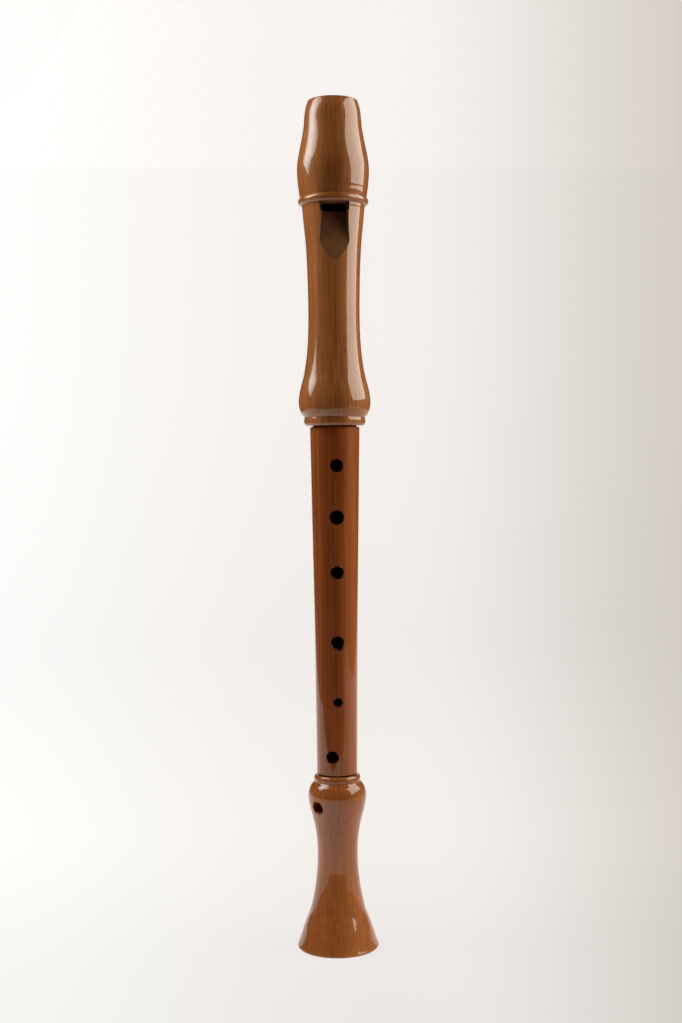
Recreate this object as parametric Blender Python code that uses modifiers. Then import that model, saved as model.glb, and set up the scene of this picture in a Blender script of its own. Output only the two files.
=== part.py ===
"""Wooden soprano recorder in six pieces: head joint, block, middle joint, foot joint, two tenon corks.

Metres, +Z up along the bore. The origin is the centre of the bell's flat bottom, and the window
and the finger holes face -Y. An outline is a list of (radius, height) stations, top to bottom.
"""
import math

import bmesh
import bpy
from mathutils import Matrix, Vector

SIDES = 40                  # facets round every turned piece
HOLE_SIDES = 20             # facets round a finger hole
BEAK_CUT_SIDES = 160        # facets round the large drum that hollows the beak
BEYOND = 0.016              # a cutter that leaves the wood ends this far from the bore's axis
WEDGE_START = 0.003         # a cutter that leaves the bore starts this far from the axis
OVERLAP = 0.001             # a cutter runs this far past the face that it opens
FIT_GAP = 0.0003            # clearance between neighbouring pieces

LENGTH = 0.3282             # beak tip above the bell's bottom
HEAD_END = 0.2033           # lower end of the head joint
FOOT_RIM = 0.0677           # upper end of the foot joint
MIDDLE_TOP = HEAD_END - FIT_GAP        # the middle joint's two shoulders
MIDDLE_BOTTOM = FOOT_RIM + FIT_GAP

# bore
BLOCK_BORE_RADIUS = 0.0065
HEAD_BORE_RADIUS = 0.0060
FOOT_BORE_RADIUS = 0.0047
BELL_MOUTH_RADIUS = 0.0054

# windway, window and labium, all centred on the front
WINDWAY_HALF_WIDTH = 0.00425
WINDWAY_ROOF_AT_MOUTH = 0.0074
WINDWAY_ROOF_AT_EXIT = 0.0067
WINDWAY_FLOOR_AT_MOUTH = 0.0052
WINDWAY_FLOOR_AT_EXIT = 0.0055
WINDOW_TOP = 0.2881
LABIUM_EDGE = 0.2850
LABIUM_EDGE_DEPTH = 0.00625    # distance of the sharp edge from the bore's axis
RAMP_END = 0.2660              # where the ramp runs out on the stem's surface
RAMP_END_DEPTH = 0.01040
RAMP_HALF_WIDTH_AT_END = 0.0066
CHEEK_SPLAY = 0.24             # the ramp's side walls lean out by this much per unit of depth
UNDERCUT_END = 0.2790
UNDERCUT_END_DEPTH = 0.0040

# beak: a round hollow cut across the back
BEAK_CUT_RADIUS = 0.0470
BEAK_CUT_HEIGHT = 0.3300
BEAK_THICKNESS_BEHIND_AXIS = 0.0020

# tenons and sockets
UPPER_SOCKET_RADIUS = 0.0087
UPPER_SOCKET_DEPTH = 0.0232
UPPER_TENON_LENGTH = 0.0224
UPPER_TENON_RADIUS = 0.0083
UPPER_CORK_RADIUS = 0.0084
UPPER_CORK_SEAT_RADIUS = 0.0073
UPPER_CORK_LENGTH = 0.0150
UPPER_CORK_HEIGHT = MIDDLE_TOP + UPPER_TENON_LENGTH / 2
LOWER_SOCKET_RADIUS = 0.00705
LOWER_SOCKET_DEPTH = 0.0097
LOWER_TENON_LENGTH = 0.0094
LOWER_TENON_RADIUS = 0.0066
LOWER_CORK_RADIUS = 0.00675
LOWER_CORK_SEAT_RADIUS = 0.0058
LOWER_CORK_LENGTH = 0.0052
LOWER_CORK_HEIGHT = MIDDLE_BOTTOM - LOWER_TENON_LENGTH / 2
CORK_EDGE = 0.0003

# finger holes: height, diameter, degrees from the front towards +X
MIDDLE_TURN = 1.3           # the middle joint is turned a little from the window's line
FINGER_HOLES = [
    (0.1879, 0.0046, MIDDLE_TURN),
    (0.1681, 0.0050, MIDDLE_TURN),
    (0.1469, 0.0046, MIDDLE_TURN),
    (0.1198, 0.0046, MIDDLE_TURN),
    (0.0967, 0.0031, MIDDLE_TURN),
    (0.0754, 0.0044, MIDDLE_TURN - 17.2),
]
THUMB_HOLE = (0.1940, 0.0050, MIDDLE_TURN + 180.0)
LITTLE_FINGER_HOLE = (0.0558, 0.0045, -48.5)

# outlines
BEAK_TIP_RADIUS = 0.0094
BEAK_STATIONS = [
    (0.00968, 0.3280), (0.00990, 0.3275), (0.01015, 0.3267), (0.01050, 0.3254), (0.01095, 0.3225),
    (0.01123, 0.3190), (0.01183, 0.3150), (0.01253, 0.3115), (0.01328, 0.3078), (0.01381, 0.3046),
    (0.01398, 0.3015), (0.01383, 0.2983), (0.01351, 0.2950), (0.01347, 0.29442),
]
LINE_ABOVE_RING = [(0.01340, 0.2942), (0.01341, 0.29398), (0.01315, 0.2924)]   # a fine turned line
RING_STATIONS = [
    (0.01292, 0.2912), (0.01338, 0.2905), (0.01358, 0.2896), (0.01341, 0.2888), (0.01265, 0.2881),
]
STEM_TOP = (0.01221, 0.2880)
LINE_BELOW_RING = [(0.01209, 0.28672), (0.01202, 0.2865), (0.01206, 0.28628)]
STEM_STATIONS = [
    (0.01183, 0.2840), (0.01138, 0.2795), (0.01094, 0.2750), (0.01060, 0.2700),
    (0.01037, 0.2655), (0.01019, 0.2600), (0.01005, 0.2540), (0.00999, 0.2480), (0.01009, 0.2400),
    (0.01037, 0.2348), (0.01083, 0.2298), (0.01143, 0.2256), (0.01218, 0.2219), (0.01303, 0.2187),
    (0.01363, 0.2160), (0.01398, 0.2130), (0.01388, 0.2108), (0.01345, 0.2092), (0.01291, 0.2080),
    (0.01226, 0.2071),
]
LOWER_BEAD_STATIONS = [
    (0.01175, 0.2066), (0.01193, 0.2057), (0.01193, 0.2048), (0.01170, 0.2040), (0.01115, 0.2034),
]
MIDDLE_STATIONS = [
    (0.00965, MIDDLE_TOP), (0.00939, 0.1880), (0.00911, 0.1700), (0.00878, 0.1500),
    (0.00853, 0.1350), (0.00833, 0.1200), (0.00813, 0.1000), (0.00799, 0.0840),
    (0.00787, MIDDLE_BOTTOM),
]
RIM_STATIONS = [
    (0.00830, 0.0677), (0.00875, 0.0673), (0.00903, 0.0666), (0.00906, 0.0659), (0.00898, 0.0653),
]
FOOT_STATIONS = [
    (0.00899, 0.0650), (0.00923, 0.0647), (0.00979, 0.0641), (0.01031, 0.0634), (0.01071, 0.0626),
    (0.01104, 0.0616), (0.01128, 0.0606), (0.01136, 0.0596), (0.01127, 0.0582), (0.01094, 0.0562),
    (0.01041, 0.0538), (0.00973, 0.0513), (0.00907, 0.0485), (0.00854, 0.0457), (0.00810, 0.0421),
    (0.00789, 0.0385), (0.00787, 0.0352), (0.00800, 0.0315), (0.00840, 0.0275), (0.00900, 0.0230),
    (0.00987, 0.0185), (0.01097, 0.0142), (0.01222, 0.0110), (0.01322, 0.0084), (0.01402, 0.0060),
    (0.01492, 0.0032), (0.01562, 0.0013),
]
BELL_EDGE_STATIONS = [(0.01584, 0.0008), (0.01580, 0.0003), (0.01547, 0.0)]


def start_clean():
    for old in list(bpy.data.objects):
        bpy.data.objects.remove(old, do_unlink=True)


def new_collection(name):
    collection = bpy.data.collections.new(name)
    bpy.context.scene.collection.children.link(collection)
    return collection


def smooth(stations, steps):
    """Points on a smooth curve through the stations, with this many steps between two of them."""
    knots = [Vector(station) for station in stations]
    gaps = [(b - a).length for a, b in zip(knots, knots[1:])]
    slopes = [(b - a) / gap for a, b, gap in zip(knots, knots[1:], gaps)]
    tangents = [slopes[0]]
    for before, after, gap_before, gap_after in zip(slopes, slopes[1:], gaps, gaps[1:]):
        tangents.append((before * gap_after + after * gap_before) / (gap_before + gap_after))
    tangents.append(slopes[-1])
    points = []
    for i, gap in enumerate(gaps):
        for step in range(steps):
            t = step / steps
            ease = t * t * (3 - 2 * t)
            leave = t * (1 - t) ** 2 * gap
            arrive = t * t * (t - 1) * gap
            points.append(knots[i] * (1 - ease) + knots[i + 1] * ease
                          + tangents[i] * leave + tangents[i + 1] * arrive)
    return points + [knots[-1]]


def mesh_object(name, mesh, collection):
    obj = bpy.data.objects.new(name, mesh)
    collection.objects.link(obj)
    return obj


def turn_on_lathe(name, outline, collection):
    """Closed outline turned about Z: its outer side runs down, its inner side runs back up."""
    mesh = bpy.data.meshes.new(name)
    count = len(outline)
    edges = [(i, (i + 1) % count) for i in range(count)]
    mesh.from_pydata([(radius, 0.0, height) for radius, height in outline], edges, [])
    obj = mesh_object(name, mesh, collection)
    screw = obj.modifiers.new("turn", 'SCREW')
    screw.steps = SIDES
    screw.render_steps = SIDES
    screw.use_merge_vertices = True
    screw.merge_threshold = 0.00001
    return obj


def finish(obj, material):
    """Freeze the lathe work and the cuts, and shade the round surfaces smooth."""
    evaluated = obj.evaluated_get(bpy.context.evaluated_depsgraph_get())
    mesh = bpy.data.meshes.new_from_object(evaluated)
    mesh.name = obj.name
    obj.modifiers.clear()
    obj.data = mesh
    mesh.materials.clear()
    mesh.materials.append(material)
    mesh.shade_smooth()
    mesh.set_sharp_from_angle(angle=math.radians(35))


def make_cutter(name, mesh, collection):
    cutter = mesh_object(name, mesh, collection)
    cutter.hide_render = True
    cutter.display_type = 'WIRE'
    return cutter


def cut(obj, cutter):
    boolean = obj.modifiers.new(cutter.name, 'BOOLEAN')
    boolean.operation = 'DIFFERENCE'
    boolean.solver = 'EXACT'
    boolean.object = cutter


def front_wedge(name, upper, lower, collection):
    """Six-sided cutter on the front. An end is (height, near depth, near half, far depth, far half)."""
    mesh = bpy.data.meshes.new(name)
    bm = bmesh.new()
    bmesh.ops.create_cube(bm, size=2.0)
    for vertex in bm.verts:
        height, near_depth, near_half, far_depth, far_half = upper if vertex.co.z > 0 else lower
        is_far = vertex.co.y < 0
        half = far_half if is_far else near_half
        depth = far_depth if is_far else near_depth
        vertex.co = Vector((math.copysign(half, vertex.co.x), -depth, height))
    bm.to_mesh(mesh)
    bm.free()
    return make_cutter(name, mesh, collection)


def radial_drill(name, hole, collection):
    """Round cutter from the bore's axis outwards, for a hole of (height, diameter, degrees)."""
    height, diameter, degrees = hole
    mesh = bpy.data.meshes.new(name)
    bm = bmesh.new()
    bmesh.ops.create_cone(bm, cap_ends=True, segments=HOLE_SIDES, radius1=diameter / 2,
                          radius2=diameter / 2, depth=BEYOND)
    lie_along_front = Matrix.Translation((0, -BEYOND / 2, 0)) @ Matrix.Rotation(math.pi / 2, 4, 'X')
    bmesh.ops.transform(bm, matrix=lie_along_front, verts=bm.verts)
    bm.to_mesh(mesh)
    bm.free()
    drill = make_cutter(name, mesh, collection)
    drill.location = (0, 0, height)
    drill.rotation_euler = (0, 0, math.radians(degrees))
    return drill


def beak_cutter(collection):
    mesh = bpy.data.meshes.new("beak_cut")
    bm = bmesh.new()
    bmesh.ops.create_cone(bm, cap_ends=True, segments=BEAK_CUT_SIDES, radius1=BEAK_CUT_RADIUS,
                          radius2=BEAK_CUT_RADIUS, depth=2 * BEYOND)
    bmesh.ops.rotate(bm, matrix=Matrix.Rotation(math.pi / 2, 3, 'Y'), verts=bm.verts)
    bm.to_mesh(mesh)
    bm.free()
    cutter = make_cutter("beak_cut", mesh, collection)
    cutter.location = (0, BEAK_THICKNESS_BEHIND_AXIS + BEAK_CUT_RADIUS, BEAK_CUT_HEIGHT)
    return cutter


def windway_cutter(collection):
    upper = (LENGTH + OVERLAP, WEDGE_START, WINDWAY_HALF_WIDTH, WINDWAY_ROOF_AT_MOUTH, WINDWAY_HALF_WIDTH)
    lower = (WINDOW_TOP - OVERLAP, WEDGE_START, WINDWAY_HALF_WIDTH, WINDWAY_ROOF_AT_EXIT,
             WINDWAY_HALF_WIDTH)
    return front_wedge("windway", upper, lower, collection)


def window_cutter(collection):
    half_outside = WINDWAY_HALF_WIDTH + CHEEK_SPLAY * (BEYOND - LABIUM_EDGE_DEPTH)
    upper = (WINDOW_TOP, WEDGE_START, WINDWAY_HALF_WIDTH, BEYOND, half_outside)
    lower = (LABIUM_EDGE, WEDGE_START, WINDWAY_HALF_WIDTH, BEYOND, half_outside)
    return front_wedge("window", upper, lower, collection)


def ramp_cutter(collection):
    fall = (RAMP_END_DEPTH - LABIUM_EDGE_DEPTH) / (LABIUM_EDGE - RAMP_END)
    start_height = LABIUM_EDGE + OVERLAP
    start_depth = LABIUM_EDGE_DEPTH - fall * OVERLAP
    start_half_outside = WINDWAY_HALF_WIDTH + CHEEK_SPLAY * (BEYOND - start_depth)
    end_height = RAMP_END - 2 * OVERLAP
    end_depth = RAMP_END_DEPTH + fall * 2 * OVERLAP
    end_half_outside = RAMP_HALF_WIDTH_AT_END + CHEEK_SPLAY * (BEYOND - end_depth)
    upper = (start_height, start_depth, WINDWAY_HALF_WIDTH, BEYOND, start_half_outside)
    lower = (end_height, end_depth, RAMP_HALF_WIDTH_AT_END, BEYOND, end_half_outside)
    return front_wedge("ramp", upper, lower, collection)


def undercut_cutter(collection):
    upper = (LABIUM_EDGE + OVERLAP, WEDGE_START, WINDWAY_HALF_WIDTH, HEAD_BORE_RADIUS, WINDWAY_HALF_WIDTH)
    lower = (UNDERCUT_END, WEDGE_START, WINDWAY_HALF_WIDTH, UNDERCUT_END_DEPTH, WINDWAY_HALF_WIDTH)
    return front_wedge("lip_undercut", upper, lower, collection)


def make_head_joint(parts, cutters):
    socket_top = HEAD_END + UPPER_SOCKET_DEPTH
    outline = ([(BEAK_TIP_RADIUS, LENGTH)] + smooth(BEAK_STATIONS, 2) + LINE_ABOVE_RING
               + smooth(RING_STATIONS, 2) + [STEM_TOP] + LINE_BELOW_RING
               + STEM_STATIONS + smooth(LOWER_BEAD_STATIONS, 2)
               + [(0.0107, HEAD_END), (UPPER_SOCKET_RADIUS, HEAD_END),
                  (UPPER_SOCKET_RADIUS, socket_top), (HEAD_BORE_RADIUS, socket_top),
                  (HEAD_BORE_RADIUS, WINDOW_TOP), (BLOCK_BORE_RADIUS, WINDOW_TOP),
                  (BLOCK_BORE_RADIUS, LENGTH)])
    head = turn_on_lathe("head_joint", outline, parts)
    cut(head, beak_cutter(cutters))
    cut(head, windway_cutter(cutters))
    cut(head, window_cutter(cutters))
    cut(head, ramp_cutter(cutters))
    cut(head, undercut_cutter(cutters))
    return head


def make_block(parts, cutters):
    radius = BLOCK_BORE_RADIUS - FIT_GAP
    lower_end = WINDOW_TOP + FIT_GAP
    outline = [(0.0, LENGTH), (radius, LENGTH), (radius, lower_end), (0.0, lower_end)]
    block = turn_on_lathe("block", outline, parts)
    upper = (LENGTH + OVERLAP, WINDWAY_FLOOR_AT_MOUTH, radius, BEYOND, radius)
    lower = (lower_end - OVERLAP, WINDWAY_FLOOR_AT_EXIT, radius, BEYOND, radius)
    cut(block, cutters.objects["beak_cut"])
    cut(block, front_wedge("windway_floor", upper, lower, cutters))
    return block


def corked_tenon(radius, seat_radius, seat_height, seat_length):
    """The side of a tenon, top to bottom, with a groove for its cork."""
    seat_top = seat_height + seat_length / 2
    seat_bottom = seat_height - seat_length / 2
    return [(radius, seat_top), (seat_radius, seat_top), (seat_radius, seat_bottom), (radius, seat_bottom)]


def make_middle_joint(parts, cutters):
    upper_end = MIDDLE_TOP + UPPER_TENON_LENGTH
    lower_end = MIDDLE_BOTTOM - LOWER_TENON_LENGTH
    upper_tenon = corked_tenon(UPPER_TENON_RADIUS, UPPER_CORK_SEAT_RADIUS, UPPER_CORK_HEIGHT,
                               UPPER_CORK_LENGTH)
    lower_tenon = corked_tenon(LOWER_TENON_RADIUS, LOWER_CORK_SEAT_RADIUS, LOWER_CORK_HEIGHT,
                               LOWER_CORK_LENGTH)
    outline = ([(UPPER_TENON_RADIUS, upper_end)] + upper_tenon + [(UPPER_TENON_RADIUS, MIDDLE_TOP)]
               + MIDDLE_STATIONS
               + [(LOWER_TENON_RADIUS, MIDDLE_BOTTOM)] + lower_tenon
               + [(LOWER_TENON_RADIUS, lower_end), (FOOT_BORE_RADIUS, lower_end),
                  (HEAD_BORE_RADIUS, upper_end)])
    middle = turn_on_lathe("middle_joint", outline, parts)
    for number, hole in enumerate(FINGER_HOLES, start=1):
        cut(middle, radial_drill(f"finger_hole_{number}", hole, cutters))
    cut(middle, radial_drill("thumb_hole", THUMB_HOLE, cutters))
    return middle


def make_cork(name, height, length, seat_radius, cork_radius, parts):
    high = height + length / 2 - FIT_GAP
    low = height - length / 2 + FIT_GAP
    inside = seat_radius + FIT_GAP
    outline = [(inside, high), (cork_radius - CORK_EDGE, high), (cork_radius, high - CORK_EDGE),
               (cork_radius, low + CORK_EDGE), (cork_radius - CORK_EDGE, low), (inside, low)]
    return turn_on_lathe(name, outline, parts)


def make_foot_joint(parts, cutters):
    socket_bottom = FOOT_RIM - LOWER_SOCKET_DEPTH
    outline = (smooth(RIM_STATIONS, 2) + FOOT_STATIONS + BELL_EDGE_STATIONS
               + [(BELL_MOUTH_RADIUS, 0.0), (FOOT_BORE_RADIUS, 0.0030),
                  (FOOT_BORE_RADIUS, socket_bottom), (LOWER_SOCKET_RADIUS, socket_bottom),
                  (LOWER_SOCKET_RADIUS, FOOT_RIM)])
    foot = turn_on_lathe("foot_joint", outline, parts)
    cut(foot, radial_drill("little_finger_hole", LITTLE_FINGER_HOLE, cutters))
    return foot


def make_material(name, color, roughness):
    material = bpy.data.materials.new(name)
    material.use_nodes = True
    shader = material.node_tree.nodes["Principled BSDF"]
    shader.inputs["Base Color"].default_value = (*color, 1.0)
    shader.inputs["Roughness"].default_value = roughness
    shader.inputs["Metallic"].default_value = 0.0
    material.diffuse_color = (*color, 1.0)
    return material


def build():
    start_clean()
    parts = new_collection("soprano_recorder")
    cutters = new_collection("cutters")
    head = make_head_joint(parts, cutters)
    block = make_block(parts, cutters)
    middle = make_middle_joint(parts, cutters)
    foot = make_foot_joint(parts, cutters)
    upper_cork = make_cork("upper_tenon_cork", UPPER_CORK_HEIGHT, UPPER_CORK_LENGTH,
                           UPPER_CORK_SEAT_RADIUS, UPPER_CORK_RADIUS, parts)
    lower_cork = make_cork("lower_tenon_cork", LOWER_CORK_HEIGHT, LOWER_CORK_LENGTH,
                           LOWER_CORK_SEAT_RADIUS, LOWER_CORK_RADIUS, parts)
    bpy.context.view_layer.update()
    finish(head, make_material("head_wood", (0.22, 0.085, 0.030), 0.22))
    finish(block, make_material("block_cedar", (0.42, 0.20, 0.11), 0.65))
    finish(middle, make_material("middle_wood", (0.20, 0.068, 0.024), 0.28))
    finish(foot, make_material("foot_wood", (0.22, 0.085, 0.030), 0.22))
    finish(upper_cork, make_material("upper_cork", (0.55, 0.36, 0.20), 0.85))
    finish(lower_cork, make_material("lower_cork", (0.55, 0.36, 0.20), 0.85))


build()
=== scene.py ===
"""Looks of the soprano recorder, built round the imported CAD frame. Metres, +Z up along the bore."""
import math
import bmesh
import bpy
import numpy as np
from mathutils import Matrix, Vector


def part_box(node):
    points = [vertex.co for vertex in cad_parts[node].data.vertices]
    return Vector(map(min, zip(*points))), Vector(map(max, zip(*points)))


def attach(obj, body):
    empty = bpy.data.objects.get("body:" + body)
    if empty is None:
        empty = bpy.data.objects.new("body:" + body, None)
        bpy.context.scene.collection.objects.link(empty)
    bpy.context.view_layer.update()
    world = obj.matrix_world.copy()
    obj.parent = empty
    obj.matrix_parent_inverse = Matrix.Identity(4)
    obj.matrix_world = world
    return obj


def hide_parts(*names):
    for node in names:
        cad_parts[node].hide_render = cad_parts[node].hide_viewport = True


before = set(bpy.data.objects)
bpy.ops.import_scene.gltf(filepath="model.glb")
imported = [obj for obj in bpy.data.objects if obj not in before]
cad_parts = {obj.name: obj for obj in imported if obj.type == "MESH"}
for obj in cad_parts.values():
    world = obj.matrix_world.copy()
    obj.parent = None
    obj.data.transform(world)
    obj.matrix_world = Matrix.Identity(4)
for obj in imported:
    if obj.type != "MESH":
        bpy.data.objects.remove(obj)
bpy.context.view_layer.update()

# ---------------------------------------------------------------- sizes shared with the CAD model
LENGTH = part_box("head_joint")[1].z
HEAD_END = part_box("head_joint")[0].z
FOOT_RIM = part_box("foot_joint")[1].z

BLOCK_BORE_RADIUS = 0.0065
BLOCK_RADIUS = 0.00643                  # so it nearly fills its bore
BLOCK_LOWER_END = 0.2884
HEAD_BORE_RADIUS = 0.0060
WINDWAY_HALF_WIDTH = 0.00425
WINDWAY_ROOF = (0.0074, 0.0067)         # at the mouth, at the exit
WINDWAY_FLOOR = (0.0052, 0.0055)
WINDOW_TOP = 0.2881
LABIUM_EDGE = 0.2850
LABIUM_EDGE_DEPTH = 0.00625
RAMP_END = 0.2660
RAMP_END_DEPTH = 0.01040
RAMP_HALF_WIDTH_AT_END = 0.0066
CHEEK_SPLAY = 0.24
RAMP_SCOOP = 3.9                        # per metre
UNDERCUT_END = 0.2790
UNDERCUT_END_DEPTH = 0.0040
BEAK_CUT_RADIUS = 0.0470
BEAK_CUT_HEIGHT = 0.3300
BEAK_CUT_DEPTH = 0.0020
MIDDLE_TURN = 1.3
FINGER_HOLES = [                        # height, diameter, degrees from the front towards +X
    (0.1879, 0.0046, MIDDLE_TURN),
    (0.1681, 0.0050, MIDDLE_TURN),
    (0.1469, 0.0046, MIDDLE_TURN),
    (0.1198, 0.0046, MIDDLE_TURN),
    (0.0967, 0.0031, MIDDLE_TURN),
    (0.0754, 0.0044, MIDDLE_TURN - 17.2),
]
THUMB_HOLE = (0.1940, 0.0050, MIDDLE_TURN + 180.0)
LITTLE_FINGER_HOLE = (0.0558, 0.0045, -48.5)
TUNING_NOTCH = (0.1178, 0.0016, MIDDLE_TURN + 6.0)      # widens the fourth hole at its lower right

# ---------------------------------------------------------------- how finely the visual pieces are made
SIDES = 224                             # facets round a turned piece
EDGE_SIDES = 150                        # extra facets where the beak's back edge runs
STEP = 0.0007                           # longest step along a turned outline
HOLE_SIDES = 64
RIM_STEPS = 8                           # steps in the rounding of a hole's rim
RIM_TURN = 80                           # degrees that the rounding turns through
RAMP_SECTIONS = 16
EASE = 0.00035                          # rounding of a finger hole's rim
LITTLE_FINGER_EASE = 0.0006
BEAK_EDGE = 0.0016                      # how broadly the beak's back edge is rounded
BEAK_TIP_EDGE = 0.0006                  # and its tip, at the back
BLOCK_EDGE = 0.00005
EASED_LINES = [                         # the head's two fine turned lines, made shallower: height, radius
    (0.29442, 0.01344), (0.29420, 0.01338), (0.29398, 0.01334), (0.28628, 0.012005),
]
GAP = 0.0006                            # height and depth of the shadow line where two joints meet
BEYOND = 0.018                          # a cutter that leaves the wood ends this far from the bore's axis
WEDGE_START = 0.003                     # a wedge that opens into the bore starts this far from the axis
HOLE_START = 0.0015                     # and so does a drill
OVERLAP = 0.001                         # a cutter runs this far past the face that it opens
SKIN = 0.0004                           # faces deeper than this under the turned surface have no varnish
INSIDE_HEAD_SHOULDER = 0.0090           # the upper tenon and its socket's mouth are inside this radius
INSIDE_FOOT_SHOULDER = 0.0075           # the lower tenon is inside this radius
INSIDE_FOOT_RIM = 0.0082                # the foot's socket and bore are inside this radius
AT_SHOULDER = 0.0005                    # points this near to a shoulder's height belong to it
SHARP_ANGLE = math.radians(32)

VARNISHED, BARE = 0, 1                  # material slots of a turned piece


# ---------------------------------------------------------------- outlines from the CAD meshes
MICROMETRE = 1e-6


def turned_outline(node):
    """The closed outline of a turned CAD node, as (radius, height), from its top down the outside.
    It follows the edges that lie in the half plane Y = 0, X > 0, with its points in whole micrometres."""
    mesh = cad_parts[node].data
    spot = {}
    for vertex in mesh.vertices:
        if abs(vertex.co.y) < MICROMETRE and vertex.co.x > MICROMETRE:
            spot[vertex.index] = (round(vertex.co.x * 1e6), round(vertex.co.z * 1e6))
    links = {}
    for edge in mesh.edges:
        a, b = (spot.get(i) for i in edge.vertices)
        if a and b and a != b:
            links.setdefault(a, set()).add(b)
            links.setdefault(b, set()).add(a)
    start = max(links, key=lambda at: (at[1], at[0]))
    before, here = start, max(links[start], key=lambda at: at[0])
    path = [start]
    while here != start:
        path.append(here)
        before, here = here, next(at for at in links[here] if at != before)
    return [Vector((radius / 1e6, height / 1e6)) for radius, height in path]


def turn_angle(a, b, c):
    """Degrees that the way from a over b to c turns at b, to the left as positive."""
    before, after = b - a, c - b
    return math.degrees(math.atan2(before.x * after.y - before.y * after.x, before.dot(after)))


CREASE_OUT, CREASE_IN = 25, -60         # an outline that turns by more than this, in degrees, has a crease
UNEVEN = 3                              # a stretch this much longer than the next one sets the slope alone
TURN_STEP = 4                           # degrees that a smooth curve turns in one step


def refine(outline):
    """The outline with smooth curves between its creases, and points no further apart than STEP."""
    count = len(outline)
    gaps = [(outline[(i + 1) % count] - outline[i]).length for i in range(count)]
    slopes = [(outline[(i + 1) % count] - outline[i]) / gaps[i] for i in range(count)]
    leaving, arriving = [], []
    for i in range(count):
        turn = turn_angle(outline[i - 1], outline[i], outline[(i + 1) % count])
        before, after = gaps[i - 1], gaps[i]
        if turn > CREASE_OUT or turn < CREASE_IN:
            arriving.append(slopes[i - 1])
            leaving.append(slopes[i])
            continue
        if before > UNEVEN * after:
            tangent = slopes[i - 1]
        elif after > UNEVEN * before:
            tangent = slopes[i]
        else:
            tangent = (slopes[i - 1] * after + slopes[i] * before) / (before + after)
        arriving.append(tangent)
        leaving.append(tangent)
    points = []
    for i in range(count):
        a, b = outline[i], outline[(i + 1) % count]
        steps = max(1, math.ceil(gaps[i] / STEP))
        turning = max(abs(turn_angle(Vector((0, 0)), leaving[i], leaving[i] + slopes[i])),
                      abs(turn_angle(Vector((0, 0)), slopes[i], slopes[i] + arriving[(i + 1) % count])))
        steps = max(steps, math.ceil(turning / TURN_STEP))
        for step in range(steps):
            t = step / steps
            ease = t * t * (3 - 2 * t)
            points.append(a * (1 - ease) + b * ease
                          + leaving[i] * (t * (1 - t) ** 2 * gaps[i])
                          + arriving[(i + 1) % count] * (t * t * (t - 1) * gaps[i]))
    return points


# ---------------------------------------------------------------- mesh building
def mesh_object(name, vertices, faces, slots=None):
    mesh = bpy.data.meshes.new(name)
    mesh.from_pydata([tuple(v) for v in vertices], [], faces)
    if slots is not None:
        mesh.polygons.foreach_set("material_index", slots)
    mesh.update()
    obj = bpy.data.objects.new(name, mesh)
    bpy.context.scene.collection.objects.link(obj)
    return obj


def rings_to_faces(rings, sides, closed):
    """Quads between neighbouring rings of vertices, wound outwards for rings that run downwards."""
    faces = []
    last = rings if closed else rings - 1
    for ring in range(last):
        here, below = ring * sides, ((ring + 1) % rings) * sides
        for i in range(sides):
            j = (i + 1) % sides
            faces.append((here + i, below + i, below + j, here + j))
    return faces


def lathe(name, outline, is_bare):
    """A closed outline turned about Z. is_bare(radius, height) says which faces have no varnish."""
    angles = np.linspace(0, 2 * math.pi, SIDES, endpoint=False)
    vertices = []
    slots = []
    for i, point in enumerate(outline):
        vertices += [(point.x * math.cos(a), point.x * math.sin(a), point.y) for a in angles]
        middle = (point + outline[(i + 1) % len(outline)]) / 2
        slots += [BARE if is_bare(middle.x, middle.y) else VARNISHED] * SIDES
    return mesh_object(name, vertices, rings_to_faces(len(outline), SIDES, True), slots)


def beak_back(z):
    """How far behind the bore's axis the beak's hollow back lies at this height."""
    drop = BEAK_CUT_HEIGHT - z
    away = BEAK_CUT_DEPTH + BEAK_CUT_RADIUS
    if abs(drop) >= BEAK_CUT_RADIUS:
        return away
    back = away - math.sqrt(BEAK_CUT_RADIUS ** 2 - drop ** 2)
    over = z - (LENGTH - BEAK_TIP_EDGE)
    if over > 0:
        back -= BEAK_TIP_EDGE - math.sqrt(max(BEAK_TIP_EDGE ** 2 - over ** 2, 0.0))
    return back


def trimmed_by_beak(radius, z, angles, edge):
    """Radii of a round section once the beak's back is trimmed off, with its edge rounded over."""
    bisections = 40
    back = beak_back(z)
    low = np.zeros_like(angles)
    high = np.full_like(angles, radius)
    for _ in range(bisections):
        middle = (low + high) / 2
        outside = middle - radius
        behind = middle * np.sin(angles) - back
        blend = np.maximum(edge - np.abs(outside - behind), 0.0) / edge
        inside = np.maximum(outside, behind) + blend ** 2 * edge / 4 <= 0
        low = np.where(inside, middle, low)
        high = np.where(inside, high, middle)
    return high


def trimmed_solid(name, outline, edge, angles):
    """A solid turned piece whose outline runs from its top centre to its bottom centre, beak-trimmed."""
    vertices = [(0.0, 0.0, outline[0].y)]
    for point in outline[1:-1]:
        radii = trimmed_by_beak(point.x, point.y, angles, edge)
        vertices += list(zip(radii * np.cos(angles), radii * np.sin(angles), [point.y] * len(angles)))
    vertices.append((0.0, 0.0, outline[-1].y))
    sides = len(angles)
    rings = len(outline) - 2
    faces = [tuple(1 + i for i in face) for face in rings_to_faces(rings, sides, False)]
    bottom = 1 + (rings - 1) * sides
    for i in range(sides):
        j = (i + 1) % sides
        faces.append((0, 1 + i, 1 + j))
        faces.append((len(vertices) - 1, bottom + j, bottom + i))
    return mesh_object(name, vertices, faces, [VARNISHED] * len(faces))


def beak_angles():
    """Directions round the axis, closer together at the back where the beak's edge runs."""
    front = np.linspace(math.pi, 2 * math.pi, SIDES // 2, endpoint=False)
    right = np.linspace(0, math.pi / 2, EDGE_SIDES, endpoint=False)
    left = np.linspace(math.pi / 2, math.pi, EDGE_SIDES, endpoint=False)
    return np.concatenate([right, left, front])


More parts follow.
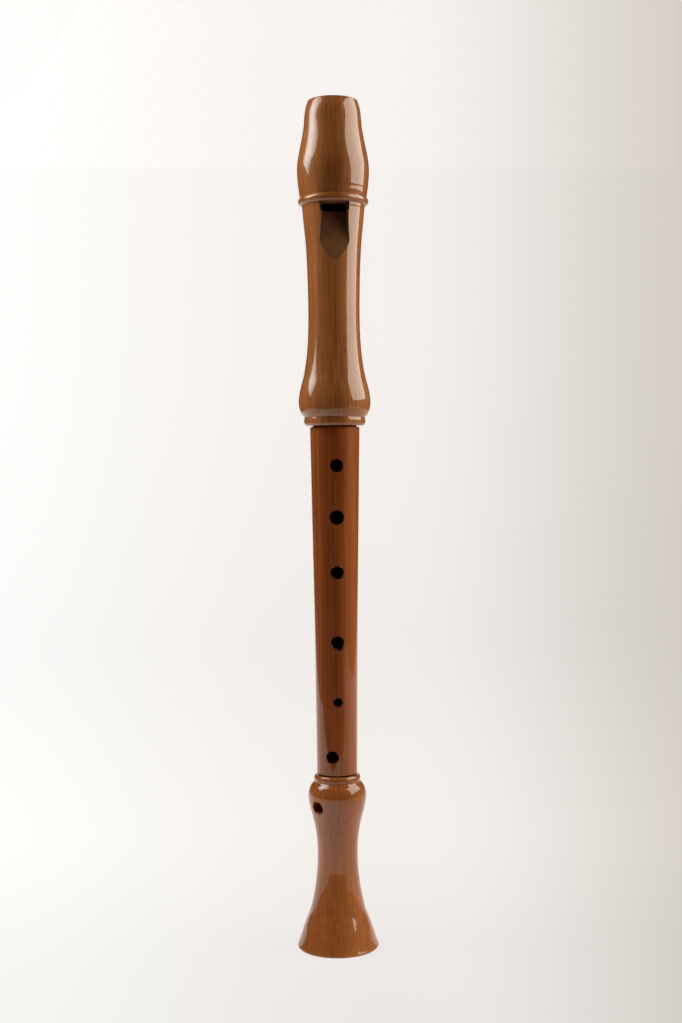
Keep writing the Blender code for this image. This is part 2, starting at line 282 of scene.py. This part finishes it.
# ---------------------------------------------------------------- cutters
def make_cutter(obj):
    """A cutter is hidden until cut() removes it."""
    obj.hide_render = True
    return obj


def front_wedge(name, *sections):
    """Four-sided cutter through sections that run downwards, each of them
    (height, near depth, near half width, far depth, far half width)."""
    vertices = []
    for height, near_depth, near_half, far_depth, far_half in sections:
        vertices += [(-near_half, -near_depth, height), (-far_half, -far_depth, height),
                     (far_half, -far_depth, height), (near_half, -near_depth, height)]
    faces = rings_to_faces(len(sections), 4, False)
    last = len(vertices) - 4
    faces += [(0, 1, 2, 3), (last + 3, last + 2, last + 1, last)]
    return make_cutter(mesh_object(name, vertices, faces, [BARE] * len(faces)))


def bore_cutter(name, outline):
    """A solid of revolution from its top centre to its bottom centre."""
    angles = np.linspace(0, 2 * math.pi, SIDES, endpoint=False)
    vertices = [(0.0, 0.0, outline[0][1])]
    for radius, height in outline[1:-1]:
        vertices += [(radius * math.cos(a), radius * math.sin(a), height) for a in angles]
    vertices.append((0.0, 0.0, outline[-1][1]))
    rings = len(outline) - 2
    faces = [tuple(1 + i for i in face) for face in rings_to_faces(rings, SIDES, False)]
    bottom = 1 + (rings - 1) * SIDES
    for i in range(SIDES):
        j = (i + 1) % SIDES
        faces.append((0, 1 + i, 1 + j))
        faces.append((len(vertices) - 1, bottom + j, bottom + i))
    return make_cutter(mesh_object(name, vertices, faces, [BARE] * len(faces)))


def hole_cutter(name, hole, outside_radius, ease=EASE):
    """A drill whose mouth flares in a small round where it meets the turned surface outside_radius(z)."""
    height, diameter, degrees = hole
    radius = diameter / 2
    flare = [(radius, ease)]            # the hole's radius, and how deep under the surface that is
    for step in range(1, RIM_STEPS + 1):
        turn = math.radians(RIM_TURN * step / RIM_STEPS)
        flare.append((radius + ease * (1 - math.cos(turn)), ease * (1 - math.sin(turn))))

    def ring(reach, place):
        around = [2 * math.pi * i / HOLE_SIDES for i in range(HOLE_SIDES)]
        spots = [(reach * math.cos(a), reach * math.sin(a)) for a in around]
        return [(across, -place(across, up), up) for across, up in spots]

    def under_surface(depth):
        return lambda across, up: math.sqrt(outside_radius(height + up) ** 2 - across ** 2) - depth

    vertices = ring(radius, lambda across, up: HOLE_START)
    for reach, depth in flare:
        vertices += ring(reach, under_surface(depth))
    vertices += ring(flare[-1][0], lambda across, up: BEYOND)
    rings = len(flare) + 2
    faces = rings_to_faces(rings, HOLE_SIDES, False)
    slots = [BARE] * HOLE_SIDES + [VARNISHED] * (len(faces) - HOLE_SIDES)
    faces.append(tuple(range(HOLE_SIDES)))
    faces.append(tuple(reversed(range((rings - 1) * HOLE_SIDES, rings * HOLE_SIDES))))
    slots += [BARE, BARE]
    obj = mesh_object(name, vertices, faces, slots)
    obj.location = (0, 0, height)
    obj.rotation_euler = (0, 0, math.radians(degrees))
    bm = bmesh.new()
    bm.from_mesh(obj.data)
    bmesh.ops.recalc_face_normals(bm, faces=bm.faces)
    bm.to_mesh(obj.data)
    bm.free()
    return make_cutter(obj)


def cut(obj, materials, *cutters):
    """Cut each cutter out of obj, keep the cutters' material slots, and freeze the result."""
    for piece in (obj, *cutters):
        for material in materials:
            piece.data.materials.append(material)
    for cutter in cutters:
        boolean = obj.modifiers.new(cutter.name, 'BOOLEAN')
        boolean.operation = 'DIFFERENCE'
        boolean.solver = 'EXACT'
        boolean.material_mode = 'INDEX'
        boolean.object = cutter
    bpy.context.view_layer.update()
    evaluated = obj.evaluated_get(bpy.context.evaluated_depsgraph_get())
    mesh = bpy.data.meshes.new_from_object(evaluated)
    mesh.name = obj.name
    obj.modifiers.clear()
    obj.data = mesh
    for cutter in cutters:
        bpy.data.objects.remove(cutter, do_unlink=True)


def finish_piece(obj, node, body, materials):
    """Shade the piece, put it on its body, and hide the CAD node that it replaces."""
    if not obj.data.materials:
        for material in materials:
            obj.data.materials.append(material)
    obj.data.shade_smooth()
    obj.data.set_sharp_from_angle(angle=SHARP_ANGLE)
    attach(obj, body)
    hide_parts(node)
    return obj


# ---------------------------------------------------------------- the six pieces
def outside_of(outline):
    """A function that gives the outer radius of a turned outline at a height."""
    outer = {}
    for point in outline:
        outer[point.y] = max(outer.get(point.y, 0.0), point.x)
    heights = sorted(outer)
    radii = [outer[h] for h in heights]
    return lambda z: float(np.interp(z, heights, radii))


def ramp_sections():
    """Sections of the ramp's cutter. The ramp is scooped: it flattens out towards its lower end."""
    length = LABIUM_EDGE - RAMP_END
    fall = (RAMP_END_DEPTH - LABIUM_EDGE_DEPTH) / length
    sections = []
    for down in np.linspace(-OVERLAP, length + 2 * OVERLAP, RAMP_SECTIONS):
        depth = LABIUM_EDGE_DEPTH + fall * down + RAMP_SCOOP * down * (length - down)
        half = np.interp(down, (0, length), (WINDWAY_HALF_WIDTH, RAMP_HALF_WIDTH_AT_END))
        sections.append((LABIUM_EDGE - down, depth, half, BEYOND, half + CHEEK_SPLAY * (BEYOND - depth)))
    return sections


def make_head(materials):
    outline = turned_outline("head_joint")
    for height, radius in EASED_LINES:
        lip = min(outline, key=lambda point: (point - Vector((radius, height))).length)
        lip.x = radius
    end = next(i for i, p in enumerate(outline)
               if abs(p.y - HEAD_END) < MICROMETRE and p.x < INSIDE_HEAD_SHOULDER)
    fine = refine(outline)
    corner = next(i for i, p in enumerate(fine) if (p - outline[end]).length < 1e-7)
    solid = [Vector((0, LENGTH))] + fine[:corner + 1] + [Vector((0, HEAD_END))]
    head = trimmed_solid("head", solid, BEAK_EDGE, beak_angles())
    socket = outline[end:end + 2]
    bore = bore_cutter("head_bore", [(0, LENGTH + OVERLAP), (BLOCK_BORE_RADIUS, LENGTH + OVERLAP),
                                     (BLOCK_BORE_RADIUS, WINDOW_TOP), (HEAD_BORE_RADIUS, WINDOW_TOP),
                                     (HEAD_BORE_RADIUS, socket[1].y), (socket[1].x, socket[1].y),
                                     (socket[0].x, HEAD_END - OVERLAP), (0, HEAD_END - OVERLAP)])
    half, near = WINDWAY_HALF_WIDTH, WEDGE_START
    windway = front_wedge("windway", (LENGTH + OVERLAP, near, half, WINDWAY_ROOF[0], half),
                          (WINDOW_TOP - OVERLAP, near, half, WINDWAY_ROOF[1], half))
    outer_half = half + CHEEK_SPLAY * (BEYOND - LABIUM_EDGE_DEPTH)
    window = front_wedge("window", (WINDOW_TOP, near, half, BEYOND, outer_half),
                         (LABIUM_EDGE, near, half, BEYOND, outer_half))
    ramp = front_wedge("ramp", *ramp_sections())
    undercut = front_wedge("undercut", (LABIUM_EDGE + OVERLAP, near, half, HEAD_BORE_RADIUS, half),
                           (UNDERCUT_END, near, half, UNDERCUT_END_DEPTH, half))
    cut(head, materials, bore, windway, window, ramp, undercut)
    return finish_piece(head, "head_joint", "head", materials)


def make_block(materials):
    outline = [Vector((0, LENGTH)), Vector((BLOCK_RADIUS, LENGTH))]
    steps = math.ceil((LENGTH - BLOCK_LOWER_END) / STEP)
    outline += [Vector((BLOCK_RADIUS, LENGTH + (BLOCK_LOWER_END - LENGTH) * i / steps))
                for i in range(1, steps + 1)]
    outline.append(Vector((0, BLOCK_LOWER_END)))
    block = trimmed_solid("cedar_block", outline, BLOCK_EDGE, beak_angles())
    half = 2 * BLOCK_RADIUS
    floor = front_wedge("windway_floor", (LENGTH + OVERLAP, WINDWAY_FLOOR[0], half, BEYOND, half),
                        (BLOCK_LOWER_END - OVERLAP, WINDWAY_FLOOR[1], half, BEYOND, half))
    floor.data.polygons.foreach_set("material_index", [VARNISHED] * len(floor.data.polygons))
    cut(block, materials, floor)
    return finish_piece(block, "block", "block", materials)


def with_gaps(outline):
    """The middle's outline with a small step at each end of the tube, where the next joint meets it."""
    stepped = []
    for point in outline:
        at_top = abs(point.y - HEAD_END) < AT_SHOULDER and point.x > INSIDE_HEAD_SHOULDER
        at_bottom = abs(point.y - FOOT_RIM) < AT_SHOULDER and point.x > INSIDE_FOOT_SHOULDER
        if at_top:
            stepped += [Vector((point.x - GAP, point.y)), Vector((point.x - GAP, HEAD_END - GAP)),
                        Vector((point.x, HEAD_END - GAP))]
        elif at_bottom:
            stepped += [Vector((point.x, FOOT_RIM + GAP)), Vector((point.x - GAP, FOOT_RIM + GAP)),
                        Vector((point.x - GAP, point.y))]
        else:
            stepped.append(point)
    return stepped


def make_middle(materials):
    outline = refine(with_gaps(turned_outline("middle_joint")))
    tube = [p for p in outline if FOOT_RIM < p.y < HEAD_END]
    outside = outside_of(tube)
    middle = lathe("middle", outline,
                   lambda r, z: not (FOOT_RIM + GAP < z < HEAD_END - GAP and r > outside(z) - SKIN))
    cutters = [hole_cutter(f"finger_hole_{number}", hole, outside)
               for number, hole in enumerate(FINGER_HOLES, start=1)]
    cutters.append(hole_cutter("thumb_hole", THUMB_HOLE, outside))
    cutters.append(hole_cutter("tuning_notch", TUNING_NOTCH, outside))
    cut(middle, materials, *cutters)
    return finish_piece(middle, "middle_joint", "middle", materials)


def make_cork(name, node, materials):
    outline = refine(turned_outline(node))
    cork = lathe(name, outline, lambda r, z: False)
    return finish_piece(cork, node, "middle", materials)


def make_foot(materials):
    outline = refine(turned_outline("foot_joint"))
    outside = outside_of(outline)
    foot = lathe("foot", outline, lambda r, z: r < INSIDE_FOOT_RIM and r < outside(z) - SKIN)
    drill = hole_cutter("little_finger_hole", LITTLE_FINGER_HOLE, outside, LITTLE_FINGER_EASE)
    cut(foot, materials, drill)
    return finish_piece(foot, "foot_joint", "foot", materials)


# ---------------------------------------------------------------- materials
class Graph:
    """Short calls for building one material's nodes."""

    def __init__(self, name):
        self.material = bpy.data.materials.new(name)
        self.material.use_nodes = True
        self.tree = self.material.node_tree
        self.shader = self.tree.nodes["Principled BSDF"]

    def node(self, kind, inputs=None, **settings):
        made = self.tree.nodes.new(kind)
        for key, value in settings.items():
            setattr(made, key, value)
        for key, value in (inputs or {}).items():
            self.feed(made.inputs[key], value)
        return made

    def feed(self, socket, value):
        if isinstance(value, bpy.types.NodeSocket):
            self.tree.links.new(value, socket)
        else:
            socket.default_value = value

    def math(self, operation, a, b=0.0):
        return self.node("ShaderNodeMath", {0: a, 1: b}, operation=operation).outputs[0]

    def mix(self, factor, a, b, blend='MIX'):
        made = self.node("ShaderNodeMix", data_type='RGBA', blend_type=blend)
        self.feed(made.inputs[0], factor)
        self.feed(made.inputs[6], a)
        self.feed(made.inputs[7], b)
        return made.outputs[2]

    def ramp(self, value, stops):
        """A smooth step from 0 to 1 between two stops."""
        low, high = stops
        made = self.node("ShaderNodeMapRange", {0: value, 1: low, 2: high, 3: 0.0, 4: 1.0},
                         interpolation_type='SMOOTHSTEP')
        return made.outputs[0]

    def noise(self, vector, scale, detail=2.0, rough=0.5):
        """Noise on coordinates divided by scale, a length along each axis in metres."""
        stretch = self.node("ShaderNodeMapping", {0: vector, 3: tuple(1 / s for s in scale)})
        made = self.node("ShaderNodeTexNoise", {"Vector": stretch.outputs[0], "Scale": 1.0,
                                                "Detail": detail, "Roughness": rough})
        return made.outputs[0]


def growth_rings(g, parts, wobble, ring_width):
    """The dark late wood of the rings. The tree's centre lies beside the piece and leans away from it."""
    pith, lean, bending = (0.090, 0.012), (0.012, 0.020), 1.1
    along = parts.outputs[2]
    x = g.math('ADD', g.math('SUBTRACT', parts.outputs[0], pith[0]), g.math('MULTIPLY', along, lean[0]))
    y = g.math('ADD', g.math('SUBTRACT', parts.outputs[1], pith[1]), g.math('MULTIPLY', along, lean[1]))
    away = g.math('SQRT', g.math('ADD', g.math('MULTIPLY', x, x), g.math('MULTIPLY', y, y)))
    year = g.math('ADD', g.math('DIVIDE', away, ring_width), g.math('MULTIPLY', wobble, bending))
    season = g.math('FRACT', year)
    fading = g.ramp(g.math('SUBTRACT', 1.0, season), (0.0, 0.12))
    return g.math('MULTIPLY', g.math('POWER', season, 2.2), fading)


def painted_centre_shade(g, place_x, along, cloud, centre_shade, shade_band):
    """Painted shade: how much darker the middle of the piece is made, where it lies between the two side
    lights. It wanders a little with the cloud.
    """
    strong, lies, half_width = centre_shade
    # Painted shade, made stronger near one height.
    if shade_band:
        extra, level = shade_band
        from_level = g.math('ABSOLUTE', g.math('SUBTRACT', along, level))
        near_level = g.math('SUBTRACT', 1.0, g.ramp(from_level, (0.003, 0.014)))
        strong = g.math('ADD', g.math('MULTIPLY', near_level, extra), strong)
    bent = g.math('ADD', place_x, g.math('MULTIPLY', g.math('SUBTRACT', cloud, 0.5), 0.008))
    out_of_shade = g.ramp(g.math('ABSOLUTE', g.math('SUBTRACT', bent, lies)), (0.0, half_width))
    return g.math('MULTIPLY', g.math('SUBTRACT', 1.0, out_of_shade), strong)


def varnish(g, place, roughness):
    """A thin clear coat that ripples very slightly, as brushed varnish does."""
    g.shader.inputs["Coat Weight"].default_value = 1.0
    g.shader.inputs["Coat Roughness"].default_value = roughness
    g.shader.inputs["Coat IOR"].default_value = 1.52
    ripple = g.noise(place, (0.0035, 0.0035, 0.010), 1.0)
    soft = g.node("ShaderNodeBump", {"Strength": 0.08, "Distance": 0.00006, "Height": ripple})
    g.feed(g.shader.inputs["Coat Normal"], soft.outputs[0])


def wood(name, dark, light, coat=None, roughness=0.42, ring_width=0.0017, shift=(0.0, 0.0, 0.0),
         centre_shade=None, shade_band=None):
    """Stained fruit wood: growth rings cut through by the turned shape, fine grain, pores and varnish.
    coat is the varnish's roughness. The argument after shift is painted shade: a darker stripe down the
    middle of the piece, at X near zero, so on its front and its back, where it lies between the two side
    lights: how strong, where it lies in X, and its half width. The last argument makes that painted shade
    stronger at one height: by how much, and the height."""
    g = Graph(name)
    place = g.node("ShaderNodeTexCoord").outputs["Object"]
    moved = g.node("ShaderNodeMapping", {0: place, 1: shift}).outputs[0]
    wobble = g.noise(moved, (0.006, 0.006, 0.060), 2.0)
    fibre = g.noise(moved, (0.00042, 0.00042, 0.016), 4.0, 0.62)
    streak = g.noise(moved, (0.0016, 0.0016, 0.070), 3.0, 0.55)
    pore = g.noise(moved, (0.00016, 0.00016, 0.0022), 2.0, 0.5)
    cloud = g.noise(moved, (0.018, 0.018, 0.075), 2.0)
    parts = g.node("ShaderNodeSeparateXYZ", {0: moved})
    late = growth_rings(g, parts, wobble, ring_width)
    tone = g.math('ADD', g.math('MULTIPLY', fibre, 0.34), g.math('MULTIPLY', streak, 0.48))
    tone = g.math('ADD', tone, g.math('MULTIPLY', cloud, 0.42))
    tone = g.math('SUBTRACT', tone, g.math('MULTIPLY', late, 0.10))
    # Painted shade: the middle of the piece made darker, between the two side lights.
    if centre_shade:
        place_x = g.node("ShaderNodeSeparateXYZ", {0: place}).outputs[0]
        tone = g.math('SUBTRACT', tone, painted_centre_shade(g, place_x, parts.outputs[2], cloud, centre_shade, shade_band))
    colour = g.mix(g.ramp(tone, (0.20, 0.90)), (*dark, 1.0), (*light, 1.0))
    flecks = g.ramp(pore, (0.60, 0.74))
    fleck_colour = (dark[0] * 0.35, dark[1] * 0.3, dark[2] * 0.3, 1.0)
    colour = g.mix(g.math('MULTIPLY', flecks, 0.18), colour, fleck_colour)
    g.feed(g.shader.inputs["Base Color"], colour)
    grain_height = g.math('ADD', g.math('MULTIPLY', fibre, 0.5), g.math('MULTIPLY', flecks, -0.5))
    bump = g.node("ShaderNodeBump", {"Strength": 0.25, "Distance": 0.00004, "Height": grain_height})
    g.feed(g.shader.inputs["Normal"], bump.outputs[0])
    g.shader.inputs["Roughness"].default_value = roughness
    g.shader.inputs["IOR"].default_value = 1.45
    g.shader.inputs["Specular IOR Level"].default_value = 0.12
    if coat:
        varnish(g, moved, coat)
    return g.material


def cork_material():
    g = Graph("sheet_cork")
    place = g.node("ShaderNodeTexCoord").outputs["Object"]
    cells = g.node("ShaderNodeTexVoronoi", {"Vector": place, "Scale": 900.0})
    fine = g.noise(place, (0.0005, 0.0005, 0.0005), 4.0, 0.6)
    dark = g.ramp(g.noise(place, (0.0012, 0.0012, 0.0006), 3.0, 0.6), (0.56, 0.68))
    colour = g.mix(cells.outputs["Color"], (0.52, 0.33, 0.17, 1), (0.62, 0.42, 0.24, 1))
    colour = g.mix(g.math('MULTIPLY', fine, 0.5), colour, (0.40, 0.24, 0.12, 1))
    colour = g.mix(dark, colour, (0.16, 0.085, 0.045, 1))
    g.feed(g.shader.inputs["Base Color"], colour)
    height = g.math('SUBTRACT', cells.outputs["Distance"], dark)
    bump = g.node("ShaderNodeBump", {"Strength": 0.6, "Distance": 0.0001, "Height": height})
    g.feed(g.shader.inputs["Normal"], bump.outputs[0])
    g.shader.inputs["Roughness"].default_value = 0.78
    return g.material


# ---------------------------------------------------------------- stage, lights and camera
CAMERA_AZIMUTH = math.radians(-2.5)     # towards -X from straight in front
CAMERA_DISTANCE = 0.552
CAMERA_HEIGHT = 0.187
CAMERA_PITCH = math.radians(1.754)
CAMERA_YAW = math.radians(0.229)
CAMERA_ROLL = math.radians(0.40)


def towards(azimuth_degrees, distance, height):
    """A point this far from the axis, at an azimuth counted from the camera towards its right."""
    angle = CAMERA_AZIMUTH + math.radians(azimuth_degrees)
    return Vector((distance * math.sin(angle), -distance * math.cos(angle), height))


def make_camera():
    place = towards(0, CAMERA_DISTANCE, CAMERA_HEIGHT)
    flat = -Vector((place.x, place.y, 0)).normalized()
    look = Matrix.Rotation(-CAMERA_YAW, 3, 'Z') @ flat
    right = look.cross(Vector((0, 0, 1))).normalized()
    look = Matrix.Rotation(-CAMERA_PITCH, 3, right) @ look
    up = Matrix.Rotation(CAMERA_ROLL, 3, look) @ right.cross(look)
    right = look.cross(up)
    data = bpy.data.cameras.new("camera")
    data.lens = 50
    data.sensor_width = 36
    data.clip_start = 0.01
    data.clip_end = 50
    camera = bpy.data.objects.new("camera", data)
    turned = Matrix((right, up, -look)).transposed()
    camera.matrix_world = Matrix.Translation(place) @ turned.to_4x4()
    bpy.context.scene.collection.objects.link(camera)
    bpy.context.scene.camera = camera


def leaning_panel(azimuth, distance, height, lean, size, spin):
    """Where a panel that leans over the recorder stands. distance and height place its lowest point,
    which is the middle of its bottom edge, or its lowest corner where it is spun in its own plane."""
    lowest = towards(azimuth, distance, height)
    inward = -Vector((lowest.x, lowest.y, 0)).normalized()
    lean = math.radians(lean)
    up = inward * math.sin(lean) + Vector((0, 0, math.cos(lean)))
    face = inward * math.cos(lean) - Vector((0, 0, math.sin(lean)))
    turn = Matrix.Rotation(math.radians(spin), 3, face)
    along = turn @ up
    across = turn @ up.cross(face)
    width, length = size
    centre = lowest + along * length / 2
    if spin:
        centre += across * width / 2
    axes = Matrix((along.cross(-face), along, -face)).transposed()
    return Matrix.Translation(centre) @ axes.to_4x4()


def softbox(name, place, size, power, tint):
    data = bpy.data.lights.new(name, 'AREA')
    data.shape = 'RECTANGLE'
    data.size, data.size_y = size
    data.energy = power
    data.color = tint
    light = bpy.data.objects.new(name, data)
    light.matrix_world = place
    light.visible_camera = False
    bpy.context.scene.collection.objects.link(light)
    return light


def sheen_panel(name, place, size, glow, tint):
    """A panel that only the gloss sees: brightest a little below its centre, dimmer at its edges."""
    hot_spot_drop, falloff = 0.2, 0.6       # both as shares: of the half length, and of the glow
    g = Graph(name)
    spot = g.node("ShaderNodeTexCoord").outputs["Object"]
    to_halves = (2 / size[0], 2 / size[1], 1.0)
    from_hot = g.node("ShaderNodeMapping", {0: spot, 1: (0.0, hot_spot_drop, 0.0), 3: to_halves})
    away = g.node("ShaderNodeVectorMath", {0: from_hot.outputs[0]}, operation='LENGTH').outputs["Value"]
    cooler = g.math('MULTIPLY', g.ramp(away, (0.1, 1.2)), falloff)
    strength = g.math('MULTIPLY', g.math('SUBTRACT', 1.0, cooler), glow)
    shine = g.node("ShaderNodeEmission", {"Color": (*tint, 1.0), "Strength": strength})
    g.feed(g.tree.nodes["Material Output"].inputs[0], shine.outputs[0])
    half_width, half_length = size[0] / 2, size[1] / 2
    corners = [(-half_width, -half_length, 0), (half_width, -half_length, 0), (half_width, half_length, 0),
               (-half_width, half_length, 0)]
    panel = mesh_object(name, corners, [(0, 1, 2, 3)])
    panel.data.materials.append(g.material)
    panel.matrix_world = place
    panel.visible_camera = False
    panel.visible_diffuse = False
    panel.visible_shadow = False


def paper_material():
    """White paper that glows: brighter on the left and far away, and warmer in front of the view."""
    g = Graph("paper")
    place = g.node("ShaderNodeTexCoord").outputs["Object"]
    parts = g.node("ShaderNodeSeparateXYZ", {0: place})
    behind_front = g.math('MAXIMUM', g.math('ADD', parts.outputs[1], 0.60), 0.30)
    side = g.math('DIVIDE', parts.outputs[0], behind_front)
    left = g.ramp(side, (-0.24, 0.03))
    right = g.ramp(side, (0.06, 0.30))
    colour = g.mix(left, (1.00, 1.00, 0.985, 1), (0.915, 0.875, 0.85, 1))
    colour = g.mix(right, colour, (0.665, 0.62, 0.575, 1))
    in_front = g.ramp(parts.outputs[1], (-0.20, -0.09))
    warmth = g.mix(in_front, (1.0, 0.96, 0.83, 1), (1, 1, 1, 1))
    colour = g.mix(1.0, colour, warmth, 'MULTIPLY')
    along = g.math('ADD', parts.outputs[1], parts.outputs[2])
    near = g.math('MULTIPLY', g.ramp(along, (-0.12, 0.20)), 0.095)
    far = g.math('MULTIPLY', g.ramp(along, (0.80, 2.40)), 0.05)
    strength = g.math('ADD', g.math('ADD', near, far), 0.905)
    glow = g.node("ShaderNodeEmission", {"Color": colour, "Strength": strength})
    matte = g.node("ShaderNodeBsdfDiffuse", {"Color": colour})
    matte_share = 0.06                      # enough for the recorder's soft shadow on the paper
    both = g.node("ShaderNodeMixShader", {0: matte_share, 1: glow.outputs[0], 2: matte.outputs[0]})
    g.feed(g.tree.nodes["Material Output"].inputs[0], both.outputs[0])
    return g.material


SHEET_EDGE = [(-0.54, 0.10), (-0.54, -0.03), (-0.34, -0.19), (0.0, -0.345), (0.26, -0.30),
              (0.50, -0.55), (0.68, -0.60), (0.68, 0.10)]     # the sheet's front edge on the floor: x, y
SWEEP_RADIUS = 0.7                      # the paper curves up behind the recorder
SWEEP_WALL = 1.9                        # and then stands upright this far behind it
SWEEP_TOP = 2.4
APRON_REACH = 2.6                       # the plain floor round the sheet reaches this far each way
DARK_ROOM = 5.0                         # half the side of the dark room round it all


def strip_faces(rows):
    """Quads of a strip two vertices wide."""
    return [(2 * i, 2 * i + 1, 2 * i + 3, 2 * i + 2) for i in range(rows - 1)]


def sweep_profile(front):
    """The paper's outline from the side, from this y on the floor to the top of the wall: (y, z)."""
    bend = SWEEP_WALL - SWEEP_RADIUS
    curve = [(bend + SWEEP_RADIUS * math.sin(a), SWEEP_RADIUS - SWEEP_RADIUS * math.cos(a))
             for a in np.linspace(0.05, math.pi / 2, 24)]
    return [(front, 0.0), (bend, 0.0), *curve, (SWEEP_WALL, SWEEP_TOP)]


def make_sweep(paper):
    """The sheet that the recorder stands on, which its varnish reflects."""
    left, right, start = SHEET_EDGE[0][0], SHEET_EDGE[-1][0], SHEET_EDGE[0][1]
    profile = sweep_profile(start)
    vertices = [(x, y, z) for y, z in profile for x in (left, right)]
    faces = strip_faces(len(profile))
    faces.append((0, *range(len(vertices), len(vertices) + len(SHEET_EDGE) - 2), 1))
    vertices += [(x, y, 0.0) for x, y in SHEET_EDGE[1:-1]]
    sweep = mesh_object("paper_sweep", vertices, faces)
    sweep.data.materials.append(paper)
    sweep.data.shade_smooth()
    return sweep


def make_apron(paper):
    """The same paper round the sheet, just under it. Only the camera sees it."""
    under = 0.0005
    profile = sweep_profile(-APRON_REACH)
    vertices = [(x, y, z - under) for y, z in profile for x in (-APRON_REACH, APRON_REACH)]
    apron = mesh_object("paper_apron", vertices, strip_faces(len(profile)))
    apron.data.materials.append(paper)
    apron.data.shade_smooth()
    apron.visible_glossy = False
    apron.visible_diffuse = False
    return apron


def make_dark_room():
    """Dark walls beyond the camera's view, for the varnish to reflect between the lights."""
    dark = Graph("dark_studio")
    dark.shader.inputs["Base Color"].default_value = (0.02, 0.02, 0.02, 1)
    dark.shader.inputs["Roughness"].default_value = 1.0
    dark.shader.inputs["Specular IOR Level"].default_value = 0.0
    ends = (-DARK_ROOM, DARK_ROOM)
    corners = [(x, y, z) for x in ends for y in ends for z in ends]
    walls = mesh_object("dark_studio", corners, [(0, 1, 3, 2), (4, 6, 7, 5), (0, 4, 5, 1), (2, 3, 7, 6),
                                                 (0, 2, 6, 4), (1, 5, 7, 3)])
    walls.data.materials.append(dark.material)
    walls.visible_camera = False
    return walls


def make_stage():
    paper = paper_material()
    make_sweep(paper)
    make_apron(paper)
    make_dark_room()
    world = bpy.data.worlds.new("plain")
    world.use_nodes = True
    world.node_tree.nodes["Background"].inputs[0].default_value = (0.80, 0.77, 0.75, 1)
    bpy.context.scene.world = world
    bpy.context.scene.view_settings.view_transform = 'Standard'


def make_lights():
    """A large softbox on the right, and a smaller one on the left whose sheen is a panel of its own."""
    right_size = (0.80, 0.60)
    right_place = leaning_panel(azimuth=86.5, distance=0.77, height=0.280, lean=25, size=right_size, spin=0)
    right_place = right_place @ Matrix.Rotation(0.044, 4, 'Z')
    softbox("right_softbox", right_place, right_size, 7.0, (1.0, 0.97, 0.85))
    left_size = (0.31, 0.45)
    left_place = leaning_panel(azimuth=-83, distance=0.58, height=0.330, lean=30, size=left_size, spin=30)
    left = softbox("left_softbox", left_place, left_size, 3.3, (1.0, 0.96, 0.84))
    left.visible_glossy = False
    sheen_panel("left_sheen", left_place, left_size, 8.8, (0.88, 1.0, 0.97))


def main():
    gloss = 0.035
    # Painted shade: the last arguments darken a stripe down the middle of each piece, and on the head a
    # band low on the beak's bulge.
    head_wood = wood("head_varnished_pear", (0.214, 0.062, 0.016), (0.460, 0.164, 0.048), gloss,
                     centre_shade=(0.09, -0.0015, 0.0062), shade_band=(0.15, 0.2960))
    bare_wood = wood("bare_pear", (0.135, 0.054, 0.024), (0.225, 0.090, 0.040), roughness=0.7)
    foot_wood = wood("foot_varnished_pear", (0.213, 0.054, 0.012), (0.422, 0.133, 0.031), gloss,
                     shift=(0.02, 0.01, 0.0), centre_shade=(0.08, -0.0015, 0.0062))
    middle_wood = wood("middle_varnished_pear", (0.180, 0.037, 0.008), (0.430, 0.120, 0.027), gloss,
                       shift=(0.05, 0.03, 0.0), centre_shade=(0.20, -0.0028, 0.0080))
    cedar = wood("cedar", (0.36, 0.16, 0.085), (0.52, 0.27, 0.15), roughness=0.7, ring_width=0.0013)
    cork = cork_material()
    make_head([head_wood, bare_wood])
    make_block([cedar])
    make_middle([middle_wood, bare_wood])
    make_cork("upper_cork", "upper_tenon_cork", [cork])
    make_cork("lower_cork", "lower_tenon_cork", [cork])
    make_foot([foot_wood, bare_wood])
    make_stage()
    make_lights()
    make_camera()


main()
